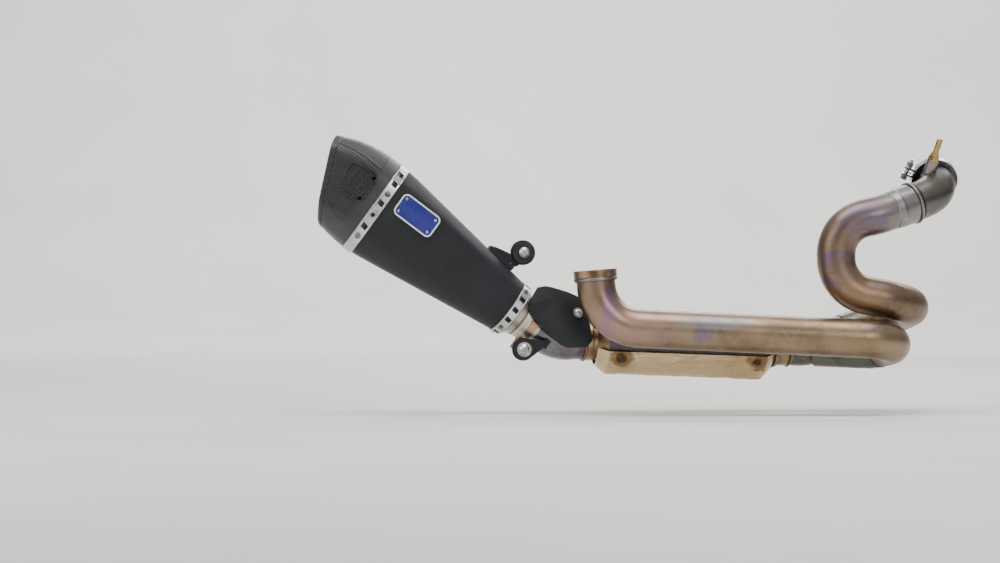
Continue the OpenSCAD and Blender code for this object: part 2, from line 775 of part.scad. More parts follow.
side_face = section_r(90, 1);
module rear_band_rivets() {
    color("#c4c4c4") in_silencer() for (side = [0, 180], x = rivet_at)
        translate([0, 0, band_mid(x, side)]) rotate([0, 0, side]) translate([x, -band_face(x) - 2.05, 0])
            rotate([90, 0, 0]) rivet();
}

front_band_z = -16;
module front_band() {
    color("#d0d0d0") in_silencer() difference() {
        sleeve_wall(front_band_z, front_band_z + 15, 0.35, 1.7);
        for (a = [-76, -28, -4, 22, 70, 94, 112, 152, 174, 198, 222, 243])
            rotate([0, 0, a]) translate([0, 0, front_band_z + 7.5]) band_window(8);
    }
}

front_rivet_angles = [-52, 46, 132, 263];
module front_band_rivets() {
    color("#c4c4c4") in_silencer() for (a = front_rivet_angles)
        rotate([0, 0, a]) translate([0, -section_r(a - 90, blend_at(front_band_z + 7.5)) - 2.5, front_band_z + 7.5])
            rotate([90, 0, 0]) scale(0.8) rivet();
}

badge_z = 198;
badge_u = 22;
module in_badge() {
    in_silencer() translate([badge_u, -half_w + 1.9, badge_z]) rotate([90, 0, 0])
        rotate([3.4, 0, 0]) children();
}

// a plain rounded plate without any mark
module badge_plate() {
    color("#24347c") in_badge() linear_extrude(1.5) hull() {
        for (x = [-10, 10], y = [-26, 26]) translate([x, y]) circle(8);
    }
}

module badge_rivets() {
    color("#c4c4c4") in_badge() for (p = [[-11, 27], [11, 27], [-11, -27], [11, -27]])
        translate([p[0], p[1], 1.55]) cylinder(h = 0.8, r1 = 2.4, r2 = 1.8);
}

// ---- silencer hanger ----

bush_up = 80;
bush_z = 26;
module in_bush() {
    in_silencer() translate([bush_up, 0, bush_z]) rotate([90, 0, 0]) children();
}

module hanger_bracket() {
    foot_z = 26;
    color("#1f2022") in_silencer() difference() {
        union() {
            translate([bush_up, 2, bush_z]) rotate([90, 0, 0]) linear_extrude(4) {
                circle(19);
                hull() {
                    translate([-18, 2]) circle(8);
                    translate([-20, 14]) circle(6);
                    translate([-20, 40]) circle(2);
                    translate([-27, 40]) circle(2);
                }
            }
            translate([46, -10, foot_z]) rotate([0, 7.7, 0]) cube([7, 20, 48]);
        }
        translate([bush_up, 0, bush_z]) rotate([90, 0, 0]) cylinder(h = 40, r = 14.1, center = true);
        solid_loft([section_ring(0, 0.3), section_ring(120, 0.3), section_ring(130, 0.3)]);
    }
}

module hanger_bracket_rivets() {
    color("#9a9ca0") in_silencer() for (z = [33, 66], y = [-7, 7])
        translate([53.2 + (z - 26) * tan(7.7), y, z]) rotate([0, 97.7, 0]) cylinder(h = 1.4, r1 = 2.2, r2 = 1.6);
}

module hanger_rubber() {
    color("#141414") in_bush() difference() {
        union() {
            translate([0, 0, -8]) cylinder(h = 16, r = 14);
            translate([0, 0, 2.3]) cylinder(h = 6, r = 17);
            translate([0, 0, -8.3]) cylinder(h = 6, r = 17);
        }
        translate([0, 0, -20]) cylinder(h = 40, r = 6.3);
    }
}

module hanger_sleeve() {
    color("#a9abad") in_bush() translate([0, 0, -9]) ring(hanger_bore / 2, 6.25, 18);
}

module hanger_bolt() {
    color("#d0d2d4") in_bush() translate([0, 0, 9.1]) button_screw(8, 18.6, 7.5, 15.4);
}

// ---- end cap and outlet ----

module cap_outline() {
    hull() {
        translate([38, 31]) circle(6);
        translate([34, 64]) circle(6);
        translate([2, 31]) circle(6);
        translate([2, 58]) circle(6);
    }
}

// the outer side of the cap: +X up, +Y rearwards, +Z outwards
module in_cap_side() {
    in_silencer() translate([-10, -half_w - 1, cap_z + 5]) rotate([90, 0, 0]) rotate([-6.9, 0, 0]) children();
}

cap_stations = [0, 0.17, 1 / 3, 0.5, 2 / 3, 0.84, 1];
module end_cap() {
    color("#4a4b4a") difference() {
        in_silencer() difference() {
            skin(concat([for (t = cap_stations) cap_ring(t, cap_swell(t))],
                        [for (k = [1 : len(cap_stations)]) let (t = cap_stations[len(cap_stations) - k])
                            cap_ring(t, cap_swell(t) - cap_wall)]));
            translate([0, 0, cap_z - 1]) cylinder(h = 10, r = core_d / 2 + 2);
        }
        in_cap_side() linear_extrude(12) cap_outline();
    }
}

module cap_mesh() {
    pitch = 8;
    color("#2e2f2f") in_cap_side() translate([0, 0, 0.1]) difference() {
        linear_extrude(0.8) translate([20, 46]) scale(0.98) translate([-20, -46]) cap_outline();
        for (i = [0 : 3], j = [0 : 2])
            translate([8 + i * pitch, 38 + j * pitch, 0.5]) rotate([0, 0, 45]) cube([3.4, 3.4, 2], center = true);
    }
}

module cap_screws() {
    color("#1c1c1e") in_cap_side() for (p = [[38, 31], [2, 31]])
        translate([p[0], p[1], 0.95]) button_screw(3, 0.01);
}

outlet_r = 30;
module outlet_pipe() {
    color("#6f7072") in_silencer() difference() {
        union() {
            translate([0, 0, cap_z + 8]) cylinder(h = 46, r = outlet_r + 1.5);
            translate([0, 0, cap_z + 8]) cylinder(h = 2, r = outlet_r + 14);
        }
        translate([0, 0, cap_z + 7]) cylinder(h = 60, r = outlet_r);
    }
}

module baffle() {
    color("#9a9c9e") in_silencer() {
        translate([0, 0, cap_z + 56.2]) difference() {
            cylinder(h = 2, r = outlet_r + 4);
            translate([0, 0, -1]) cylinder(h = 4, r = baffle_d / 2);
            translate([outlet_r - 4, 0, -1]) cylinder(h = 4, r = 2.6);
        }
        translate([0, 0, cap_z + 10]) ring(baffle_d / 2, baffle_d / 2 + 1.5, 47);
        translate([0, 0, cap_z + 11]) ring(baffle_d / 2 + 1, outlet_r - 0.06, 2);
    }
}

module baffle_screw() {
    color("#d0d2d4") in_silencer() translate([outlet_r - 4, 0, cap_z + 58.3]) button_screw(5, 8);
}

front_gasket();
front_elbow();
front_joint_bead();
sensor_boss();
oxygen_sensor();
front_port_clamp();
front_clamp_bolt();
front_clamp_nut();
front_header();
rear_header();
rear_port_ring();
rear_gasket();
rear_port_clamp();
rear_clamp_bolt();
rear_clamp_nut();
collector();
collector_branch();
collector_outlet();
catalyst_can();
catalyst_mat();
catalyst_brick();
lower_heat_shield();
upper_heat_shield();
shield_rivets();
link_pipe();
link_joint_ring();
link_cover();
cover_screw();
cover_standoffs();
lower_lug();
lower_rubber();
lower_sleeve();
lower_bolt();
inlet_sleeve();
inlet_cone();
inlet_clamp();
inlet_clamp_bolt();
inlet_clamp_nut();
silencer_sleeve();
front_bulkhead();
rear_bulkhead();
core_tube();
packing();
front_band();
front_band_rivets();
rear_band();
rear_band_rivets();
badge_plate();
badge_rivets();
hanger_bracket();
hanger_bracket_rivets();
hanger_rubber();
hanger_sleeve();
hanger_bolt();
end_cap();
cap_mesh();
cap_screws();
outlet_pipe();
baffle();
baffle_screw();
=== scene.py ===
import json
import math
import bpy
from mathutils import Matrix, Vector, noise
from mathutils.bvhtree import BVHTree


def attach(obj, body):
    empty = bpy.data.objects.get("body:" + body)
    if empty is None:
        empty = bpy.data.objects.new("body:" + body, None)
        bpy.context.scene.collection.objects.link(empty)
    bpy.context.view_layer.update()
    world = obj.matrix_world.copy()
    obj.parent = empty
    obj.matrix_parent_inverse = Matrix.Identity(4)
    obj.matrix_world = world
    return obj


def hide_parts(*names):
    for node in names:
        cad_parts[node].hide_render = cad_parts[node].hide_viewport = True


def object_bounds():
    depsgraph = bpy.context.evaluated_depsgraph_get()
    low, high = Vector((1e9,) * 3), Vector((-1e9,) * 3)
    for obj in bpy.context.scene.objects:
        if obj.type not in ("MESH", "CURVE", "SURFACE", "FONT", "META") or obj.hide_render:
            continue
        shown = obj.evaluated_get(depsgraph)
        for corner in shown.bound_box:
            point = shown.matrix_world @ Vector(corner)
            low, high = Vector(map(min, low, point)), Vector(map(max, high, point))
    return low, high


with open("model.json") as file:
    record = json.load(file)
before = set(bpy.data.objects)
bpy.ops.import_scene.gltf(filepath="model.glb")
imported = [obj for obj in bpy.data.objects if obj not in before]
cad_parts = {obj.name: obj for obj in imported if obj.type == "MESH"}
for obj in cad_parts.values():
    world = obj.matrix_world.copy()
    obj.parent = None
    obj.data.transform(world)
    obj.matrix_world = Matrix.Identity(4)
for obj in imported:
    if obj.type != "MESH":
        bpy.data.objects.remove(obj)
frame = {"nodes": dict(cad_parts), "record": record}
CAD_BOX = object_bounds()
NODES = frame["nodes"]
MM = 0.001
V = Vector


# ---- the shapes that the solids are made from, in millimetres ----

def unit(v):
    return V(v).normalized()


# the silencer's own directions: SIL rearwards along it, SIN inwards, SUP up
TILT, TOE = math.radians(36), math.radians(12)
SIL = V((-math.cos(TILT) * math.cos(TOE), -math.cos(TILT) * math.sin(TOE), math.sin(TILT)))
SIN = V((-math.sin(TOE), math.cos(TOE), 0))
SUP = SIN.cross(SIL)
SLEEVE = V((-659.5, -63, -192.5))
SLEEVE_FRONT, SLEEVE_LEN, SLEEVE_WALL = -17, 239, 1.4
FRONT_R, HALF_H, HALF_W = 43, 75, 57
CAP_Z, CAP_TOP, CAP_BOTTOM, CAP_DROP = 247, 110, 57, 8
REAR_SLANT, OUTLET_SLANT = .1, .33
# the rear section's flat sides: the angle each faces and its distance from the middle
SIDES = [(0, HALF_H), (38, HALF_H * .96), (90, HALF_W), (142, HALF_H * .96),
         (180, HALF_H), (218, HALF_H * .96), (270, HALF_W), (322, HALF_H * .96)]
CORNER_SHARPNESS = 18
# the catalyst can
CAN_FRONT, CAN_REAR = V((-244, 0, -256)), V((-532, -34, -245))
CAN = unit(CAN_REAR - CAN_FRONT)
CAN_LEN = (CAN_REAR - CAN_FRONT).length
TUBE_R = 29


def sil(u, v, z):
    """A point in the silencer's frame: u up, v inwards and z rearwards from the sleeve's front."""
    return SLEEVE + SUP * u + SIN * v + SIL * z


def side_r(a):
    """Radius at angle a of a polygon with rounded corners."""
    total = sum(max(0, math.cos(math.radians(a - s)) / d) ** CORNER_SHARPNESS for s, d in SIDES)
    return total ** (-1 / CORNER_SHARPNESS)


def section(a, z, grow, slant=0):
    """A point on the sleeve, which goes from round in front to the full section behind."""
    b = min(max(z / SLEEVE_LEN, -.2), 1)
    r = (1 - b) * FRONT_R + b * side_r(a) + grow
    v = r * math.sin(math.radians(a))
    return sil(r * math.cos(math.radians(a)), v, z - slant * v)


def cap_point(a, t, grow):
    """A point on the end cap, t running from 0 at the band to 1 at the slanted outlet."""
    taper = .45 * t + .55 * t * t
    c, s = math.cos(math.radians(a)), math.sin(math.radians(a))
    bulge = 5 * math.sin(math.pi * t) * max(0, c) ** 2
    u = (side_r(a) * (1 - .187 * taper) + grow) * c - CAP_DROP * taper + bulge
    v = (side_r(a) * (1 - .2 * taper) + grow) * s
    start = CAP_Z - REAR_SLANT * v
    end = (CAP_Z + (CAP_TOP + CAP_BOTTOM) / 2 - OUTLET_SLANT * v
           + (u + CAP_DROP) * (CAP_TOP - CAP_BOTTOM) / (2 * HALF_H * .813))
    return sil(u, v, start + t * (end - start) + (1 - t) * .2)


def axes(d):
    """The cross directions that a solid drawn along d has."""
    th, ph = math.acos(max(-1, min(1, d.z))), math.atan2(d.y, d.x)
    return (V((math.cos(th) * math.cos(ph), math.cos(th) * math.sin(ph), -math.sin(th))),
            V((-math.sin(ph), math.cos(ph), 0)))


def around(x, y, a):
    """The direction at a radians from x towards y."""
    return x * math.cos(a) + y * math.sin(a)


def can_point(z, angle, r):
    """A point at z along the can from its front, at an angle round it and r from its axis."""
    x, y = axes(CAN)
    return CAN_FRONT + CAN * z + around(x, y, math.radians(angle)) * r


# ---- pieces ----

def add(name, points, faces, body, material, smooth=True, replaces=()):
    """Make a mesh piece from points in millimetres, riding on a body."""
    mesh = bpy.data.meshes.new(name)
    mesh.from_pydata([V(p) * MM for p in points], [], faces)
    mesh.validate()
    mesh.polygons.foreach_set("use_smooth", [smooth] * len(mesh.polygons))
    mesh.update()
    obj = bpy.data.objects.new(name, mesh)
    bpy.context.scene.collection.objects.link(obj)
    mesh.materials.append(material)
    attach(obj, body)
    if replaces:
        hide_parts(*replaces)
    return obj


def loft(rings, closed=True, caps=False):
    """Faces between rings of equally many points; closed joins the last ring to the first."""
    n, m = len(rings[0]), len(rings)
    pts = [p for r in rings for p in r]
    faces = []
    for k in range(m if closed else m - 1):
        a, b = k * n, ((k + 1) % m) * n
        for i in range(n):
            j = (i + 1) % n
            faces.append((a + i, a + j, b + j, b + i))
    if caps:
        faces += [tuple(range(n))[::-1], tuple((m - 1) * n + i for i in range(n))]
    return pts, faces


def sweep(line, radius, closed, sides=10, swell=None):
    """A round cord of weld or wire along a line; swell gives its thickness along it."""
    n = len(line)
    rings = []
    up = None
    for i, p in enumerate(line):
        a = line[(i - 1) % n] if closed or i else line[0]
        b = line[(i + 1) % n] if closed or i < n - 1 else line[-1]
        d = (b - a).normalized()
        if up is None:
            up = d.orthogonal().normalized()
        up = (up - d * up.dot(d)).normalized()
        w = d.cross(up)
        r = radius * (swell(i) if swell else 1)
        rings.append([p + around(up, w, 2 * math.pi * k / sides) * r for k in range(sides)])
    return loft(rings, closed, not closed)


def circle(c, d, r, steps):
    x, y = axes(d)
    return [c + around(x, y, 2 * math.pi * i / steps) * r for i in range(steps)]


def weld(name, line, body, material, radius):
    """A weld bead whose scales follow the line."""
    scale_len = 5

    def scales(i):
        return .8 + .3 * (1 - (i % scale_len) / scale_len) + .06 * noise.noise(V((i * .37, radius, 3)))

    pts, faces = sweep(line, radius, True, 8, scales)
    return add(name, pts, faces, body, material)


def ring_weld(name, c, d, r, body, material, radius):
    return weld(name, circle(c, d, r, 300), body, material, radius)


def thread(name, start, d, r, length, body, material, pitch):
    """A thin helix on a screw's end, along d."""
    x, y = axes(d)
    steps = length / pitch * 20
    line = [start + d * (length * i / steps) + around(x, y, i * math.pi / 10) * r for i in range(int(steps))]
    pts, faces = sweep(line, .32, False, 5)
    return add(name, pts, faces, body, material)


# ---- materials ----

class Nodes:
    """A material under construction; its methods add shader nodes and return their outputs."""

    def __init__(self, name):
        self.mat = bpy.data.materials.new(name)
        self.mat.use_nodes = True
        self.nt = self.mat.node_tree
        self.bsdf = self.nt.nodes["Principled BSDF"]
        self.pos = self.nt.nodes.new("ShaderNodeTexCoord").outputs["Object"]

    def put(self, socket, value):
        if isinstance(value, bpy.types.NodeSocket):
            self.nt.links.new(value, socket)
        else:
            socket.default_value = value

    def math(self, op, a, b=0.0):
        n = self.nt.nodes.new("ShaderNodeMath")
        n.operation = op
        self.put(n.inputs[0], a)
        self.put(n.inputs[1], b)
        return n.outputs[0]

    def times(self, first, *others):
        for other in others:
            first = self.math("MULTIPLY", first, other)
        return first

    def vec(self, op, a, b, out=0):
        n = self.nt.nodes.new("ShaderNodeVectorMath")
        n.operation = op
        self.put(n.inputs[0], a)
        self.put(n.inputs[1], b)
        return n.outputs[out]

    def dist(self, p):
        """Distance in millimetres from a point given in millimetres."""
        return self.times(self.vec("DISTANCE", self.pos, V(p) * MM, 1), 1 / MM)

    def along(self, p, d):
        """How far a place lies past p in the direction d, in millimetres."""
        off = self.vec("SUBTRACT", self.pos, V(p) * MM)
        return self.times(self.vec("DOT_PRODUCT", off, d, 1), 1 / MM)

    def scaled(self, s):
        return self.vec("MULTIPLY", self.pos, V(s))

    def noise(self, scale, detail=4, vector=None, warp=0):
        n = self.nt.nodes.new("ShaderNodeTexNoise")
        self.put(n.inputs["Vector"], vector or self.pos)
        n.inputs["Scale"].default_value = scale
        n.inputs["Detail"].default_value = detail
        n.inputs["Roughness"].default_value = .55
        n.inputs["Distortion"].default_value = warp
        return n.outputs[0]

    def cells(self, scale):
        n = self.nt.nodes.new("ShaderNodeTexVoronoi")
        self.put(n.inputs["Vector"], self.pos)
        n.inputs["Scale"].default_value = scale
        return n.outputs[0]

    def span(self, value, lo, hi, to_lo=0.0, to_hi=1.0, kind="SMOOTHSTEP"):
        """Map lo to hi onto to_lo to to_hi."""
        n = self.nt.nodes.new("ShaderNodeMapRange")
        n.interpolation_type = kind
        names = ("Value", "From Min", "From Max", "To Min", "To Max")
        for k, v in zip(names, (value, lo, hi, to_lo, to_hi)):
            self.put(n.inputs[k], v)
        return n.outputs[0]

    def ramp(self, fac, stops):
        n = self.nt.nodes.new("ShaderNodeValToRGB")
        els = n.color_ramp.elements
        while len(els) < len(stops):
            els.new(.5)
        for e, (p, c) in zip(els, sorted(stops)):
            e.position, e.color = p, (*linear(c), 1)
        self.put(n.inputs[0], fac)
        return n.outputs[0]

    def mix(self, fac, a, b):
        """From colour a to colour b; the colour inputs of this node are its seventh and eighth."""
        n = self.nt.nodes.new("ShaderNodeMix")
        n.data_type = "RGBA"
        self.put(n.inputs[0], fac)
        for s, v in ((n.inputs[6], a), (n.inputs[7], b)):
            self.put(s, v if isinstance(v, bpy.types.NodeSocket) else (*linear(v), 1))
        return n.outputs[2]

    def bump(self, height, strength, distance):
        """Add a bump, its distance in millimetres, on top of the bumps so far."""
        n = self.nt.nodes.new("ShaderNodeBump")
        n.inputs["Strength"].default_value = strength
        n.inputs["Distance"].default_value = distance * MM
        self.put(n.inputs["Height"], height)
        if self.bsdf.inputs["Normal"].is_linked:
            self.put(n.inputs["Normal"], self.bsdf.inputs["Normal"].links[0].from_socket)
        self.put(self.bsdf.inputs["Normal"], n.outputs[0])

    def done(self, color, rough, metal=1.0, **more):
        self.put(self.bsdf.inputs["Base Color"], color)
        self.put(self.bsdf.inputs["Roughness"], rough)
        self.bsdf.inputs["Metallic"].default_value = metal
        for k, v in more.items():
            self.put(self.bsdf.inputs[k.replace("_", " ")], v)
        return self.mat


def linear(c):
    """A colour written as on screen, made linear."""
    v = [int(c[i:i + 2], 16) / 255 for i in (1, 3, 5)]
    return tuple(x / 12.92 if x <= .04045 else ((x + .055) / 1.055) ** 2.4 for x in v)


def worn(n, base, dark, light, scale=22):
    """A base colour with cloudy darker patches, pale rubs and fine specks."""
    c = n.mix(n.span(n.noise(scale, 5), .42, .72), base, dark)
    c = n.mix(n.span(n.noise(scale * 4, 4, warp=.6), .6, .78, 0, .5), c, light)
    return n.mix(n.span(n.noise(900, 2), .66, .78, 0, .35), c, dark)


def metal(name, base, dark, light, rough=.3, spread=.16, bump=.12, brushed=None, scale=22, more=None):
    """A worn metal; more paints its stains, and brushed gives the grain's scale in each direction."""
    n = Nodes(name)
    c = worn(n, base, dark, light, scale)
    if more:
        c = more(n, c)
    r = n.span(n.noise(40, 5), .3, .7, rough - spread / 2, rough + spread / 2)
    if brushed:
        lines = n.noise(1, 3, n.scaled(brushed))
        c = n.mix(n.span(lines, .3, .7, 0, .25), c, dark)
        n.bump(lines, .35, .05)
    n.bump(n.noise(260, 4), bump, .12)
    return n.done(c, r)


HEAT_COLOURS = [(0, "#b9a27c"), (.25, "#8f6a4c"), (.45, "#5a4468"),
                (.66, "#43567f"), (.85, "#7f8f9c"), (1, "#a79a88")]


def heat(n, c, p, d, reach, strength):
    """Straw, purple and blue bands of heat on both sides of a joint at p, across the direction d."""
    far = n.math("ABSOLUTE", n.along(p, d))
    near = n.span(n.dist(p), 60, 78, 1, 0)
    far = n.math("ADD", far, n.span(n.noise(60, 3), .3, .7, -3, 3, "LINEAR"))
    ring = n.ramp(n.span(far, 0, reach, 0, 1, "LINEAR"), HEAT_COLOURS)
    fade = n.times(n.span(far, reach * .5, reach, strength, 0), near)
    return n.mix(fade, c, ring)


def patch(n, c, p, r, to, amount=.8, wobble=18):
    """A ragged round stain of radius r at p."""
    far = n.math("ADD", n.dist(p), n.span(n.noise(28, 4), .3, .7, -wobble, wobble, "LINEAR"))
    return n.mix(n.span(far, r * .45, r, amount, 0), c, to)


def stain(n, c, p, radii, to, amount, wobble):
    """A ragged stain inside an ellipsoid."""
    off = n.vec("SUBTRACT", n.pos, V(p) * MM)
    away = n.vec("LENGTH", n.vec("DIVIDE", off, V(radii) * MM), (0, 0, 0), 1)
    away = n.math("ADD", away, n.span(n.noise(34, 5, warp=.8), .3, .7, -wobble, wobble, "LINEAR"))
    return n.mix(n.span(away, .45, 1.1, amount, 0), c, to)


def header(n, c):
    """Silver by the front joint, mottled blue over the bend, brown and purple spots lower down."""
    top = n.span(n.dist((-96, -80, -56)), 30, 120, 1, 0)
    mottle = n.noise(24, 5, n.scaled((1, 1, 1.6)), warp=.8)
    c = n.mix(n.span(n.dist((-62, -72, -44)), 30, 74, .75, 0), c, "#8d8d8f")
    c = patch(n, c, (-118, -100, -60), 56, "#6f6068", .7)
    c = n.mix(n.times(top, n.span(mottle, .52, .66, 0, .7)), c, "#5f6684")
    c = n.mix(n.times(top, n.span(mottle, .3, .42, .5, 0)), c, "#a9a6a8")
    c = patch(n, c, (-178, -100, -110), 60, "#80685a", .6)
    c = patch(n, c, (-130, -100, -185), 60, "#94795c", .5)
    spots = n.noise(30, 5, n.scaled((1, 1, 1.3)), warp=.6)
    low = n.span(n.dist((-150, -110, -150)), 40, 90, 1, 0)
    return n.mix(n.times(low, n.span(spots, .56, .68, 0, .55)), c, "#62547a")


# the rear header's stains: middle, radii, colour, strength and raggedness
REAR_STAINS = [((-520, -150, -170), (60, 60, 50), "#866e5e", .7, .35),
               ((-488, -150, -226), (90, 60, 46), "#a08377", .75, .35),
               ((-508, -150, -200), (12, 60, 40), "#8a6a94", .45, .5),
               ((-352, -150, -216), (56, 40, 12), "#85868a", .8, .6),
               ((-372, -150, -238), (22, 40, 18), "#6e6580", .6, .7),
               ((-425, -150, -236), (26, 40, 10), "#8a6672", .4, .7),
               ((-118, -130, -222), (22, 40, 12), "#75656c", .5, .6),
               ((-140, -150, -248), (60, 60, 16), "#8d7557", .4, .35)]


def rear(n, c):
    for mark in REAR_STAINS:
        c = stain(n, c, *mark)
    return c


# a lighter grey patch by the joint with the front header: a painted highlight
def elbow(n, c):
    return patch(n, c, (-20, -70, -30), 60, "#77716a", .6)


def collector(n, c):
    return heat(n, c, CAN_FRONT - CAN * 20, CAN, 12, .35)


def can_tube(n, c):
    return heat(n, c, CAN_FRONT + CAN * 4, CAN, 12, .45)


def link(n, c):
    c = n.mix(n.span(n.along(CAN_REAR, CAN), 10, 34, .8, 0), c, "#7a6149")
    return heat(n, c, CAN_REAR + CAN * 4, CAN, 22, .5)


# by material slot: base, dark and light colour, roughness and its spread, bump
MAT = {
    "heat_tinted_titanium": metal("front_header_metal", "#85715f", "#69584a", "#9d8973", .38, .14, .1,
                                  more=header),
    "rear_header": metal("rear_header_metal", "#938069", "#7b6853", "#aa967b", .37, .14, .1, more=rear),
    "dark_steel": metal("elbow_metal", "#5c5a5a", "#37322e", "#8c8e92", .33, .18, .15, more=elbow),
    "bare_titanium": metal("bare_metal", "#8d8983", "#6a645d", "#b4b0aa", .36),
    "sensor_metal": metal("sensor_metal", "#b0945c", "#6f5a38", "#d8c28c", .3, .2, .1, scale=60),
    "zinc": metal("zinc", "#c3c5c8", "#8f9296", "#e6e7e9", .25, .14, .06, scale=80),
    "tinted_clamp": metal("clamp_metal", "#b3937a", "#86664f", "#d2b79f", .3, .16, .1, scale=45),
    "dark_titanium": metal("collector_metal", "#6b6b62", "#4a4a44", "#8f8e82", .34, more=collector),
    "gold_titanium": metal("can_metal", "#a08863", "#7a6244", "#c2ab84", .3, more=can_tube),
    "grey_titanium": metal("link_metal", "#7b797d", "#5a5658", "#a19fa2", .31, more=link),
    "dark_rivet": metal("rivet_metal", "#5b524a", "#38312c", "#8b8076", .35, scale=80),
    "champagne_titanium": metal("inlet_metal", "#d6cdbf", "#b5aa9a", "#e6dfd4", .42, .1, .06,
                                brushed=(30, 900, 900)),
    "bright_band": metal("band_metal", "#cfd0d1", "#a5a7a9", "#eeeeee", .27, .14, .05),
}


def gasket():
    n = Nodes("gasket_fibre")
    c = n.mix(n.noise(300, 4), "#a89c86", "#6f6654")
    n.bump(n.noise(700, 3), .4, .2)
    return n.done(c, n.span(n.noise(100), .3, .7, .6, .8), .4)


def fibre(name, a, b, scale):
    n = Nodes(name)
    strands = n.noise(scale, 5, n.scaled((1, 2.2, 3.5)), warp=2.0)
    c = n.mix(n.span(strands, .35, .65), a, b)
    n.bump(strands, .7, .9)
    return n.done(c, n.span(strands, .3, .7, .75, .95), 0)


SHIELD_R, SHIELD_CONE = 51, 24      # the lower shield's outside radius, and the length of its tapered ends


def foil():
    """Tanned foil with soft dents, burnt round its four rivets."""
    n = Nodes("shield_foil")
    crease = n.noise(1, 4, n.scaled((9, 26, 26)), warp=1.2)
    c = worn(n, "#dcc49c", "#c2a376", "#efe2c8", 12)
    c = n.mix(n.span(crease, .56, .66, 0, .35), c, "#a98a60")
    for z, a in ((.92, -68), (.06, -68), (.92, 60), (.06, 60)):
        p = can_point(SHIELD_CONE + z * (CAN_LEN - 2 * SHIELD_CONE), a, SHIELD_R + 1)
        c = patch(n, c, p, 17, "#7a5a3c", .8, 12)
        c = patch(n, c, p, 8, "#33261c", .8, 5)
    c = patch(n, c, can_point(150, -20, SHIELD_R + 1), 60, "#cdb089", .6)
    n.bump(crease, .5, 3.0)
    n.bump(n.noise(60, 4, warp=1.0), .35, .8)
    return n.done(c, n.span(n.noise(50, 4), .3, .7, .3, .5), .85)


def satin_black():
    n = Nodes("satin_black")
    c = n.mix(n.span(n.noise(9, 4), .35, .75), "#26282c", "#1d1f22")
    dust = n.times(n.span(n.noise(16, 6, warp=.4), .56, .8), .14)
    c = n.mix(dust, c, "#45474a")
    grain = n.noise(1, 3, n.scaled((900, 700, 120)))
    n.bump(grain, .1, .04)
    n.bump(n.noise(600, 3), .14, .05)
    return n.done(c, n.span(n.noise(12, 4), .3, .7, .5, .6), 0, Specular_IOR_Level=.22)


def rubber():
    n = Nodes("black_rubber")
    c = n.mix(n.span(n.noise(120, 4), .45, .75), "#18181a", "#2e2d2b")
    n.bump(n.noise(800, 3), .3, .1)
    return n.done(c, n.span(n.noise(60), .3, .7, .6, .8), 0)


def carbon(name, lift=0):
    """Dull carbon, with a diamond weave on the cap's outer side; lift raises the roughness."""
    n = Nodes(name)
    u, z = n.along(SLEEVE, SUP), n.along(SLEEVE, SIL)
    waves = .8
    a = n.times(n.math("ADD", u, z), waves)
    b = n.times(n.math("SUBTRACT", u, z), waves)
    weave = n.times(n.math("SINE", a), n.math("SINE", b))
    base = n.mix(n.span(n.noise(26, 5), .4, .7), "#323334", "#27282a")
    base = n.mix(n.span(n.noise(500, 3), .6, .75, 0, .2), base, "#48494a")
    outer = n.span(n.along(SLEEVE, SIN), -44, -38, 1, 0)
    side = n.times(outer, n.span(z, CAP_Z + 28, CAP_Z + 42), n.span(u, -50, -40), n.span(u, 40, 50, 1, 0))
    shown = n.math("ADD", n.times(side, .85), .05)
    c = n.mix(n.times(n.span(weave, -.5, .5), shown), base, "#0d0d0e")
    n.bump(n.times(weave, side), .5, .5)
    n.bump(weave, .06, .05)
    n.bump(n.noise(300, 4), .12, .1)
    rough = n.span(n.noise(30, 4), .3, .7, .36 + lift, .48 + lift)
    return n.done(c, rough, 0, Specular_IOR_Level=.45)


def enamel(name, a, b):
    n = Nodes(name)
    c = n.mix(n.span(n.noise(40, 4), .5, .8, 0, .5), a, b)
    n.bump(n.noise(500, 2), .05, .05)
    return n.done(c, n.span(n.noise(60), .3, .7, .2, .36), 0, Coat_Weight=.5)


def ceramic():
    n = Nodes("brick_ceramic")
    c = n.mix(n.noise(200, 4), "#a89c80", "#81765d")
    n.bump(n.cells(700), .5, .3)
    return n.done(c, n.span(n.noise(90), .3, .7, .75, .9), 0)


def weld_metal(name, base, tint):
    n = Nodes(name)
    c = n.mix(n.span(n.noise(240, 4), .35, .65), base, tint)
    n.bump(n.noise(900, 3), .3, .1)
    return n.done(c, n.span(n.noise(150), .3, .7, .28, .45))


MAT.update({
    "gasket": gasket(),
    "mat_fibre": fibre("mat_fibre", "#d9d3c2", "#b3ab97", 90),
    "shield_blanket": fibre("shield_blanket", "#3a3a42", "#606069", 160),
    "shield_foil": foil(),
    "satin_black": satin_black(),
    "black_rubber": rubber(),
    "carbon_cap": carbon("carbon_cap"),
    "badge_enamel": enamel("badge_enamel", "#0f187c", "#0f187c"),
    "brick_ceramic": ceramic(),
})
RIM = carbon("carbon_rim", -.06)
WHITE = enamel("badge_border", "#e6e6e4", "#c9c9c6")
BLACK_STEEL = metal("black_steel", "#1b1c1e", "#101012", "#47484a", .35, scale=90)
BAND_RIVET = metal("band_rivet_metal", "#8b8d90", "#4f5154", "#c2c3c4", .3, .3, .1, scale=90)
WELD = weld_metal("weld_bead", "#8b7a64", "#5a5060")
DARK_WELD = weld_metal("dark_weld_bead", "#4f4a44", "#3b3b46")


# ---- the CAD nodes: finish and edges ----

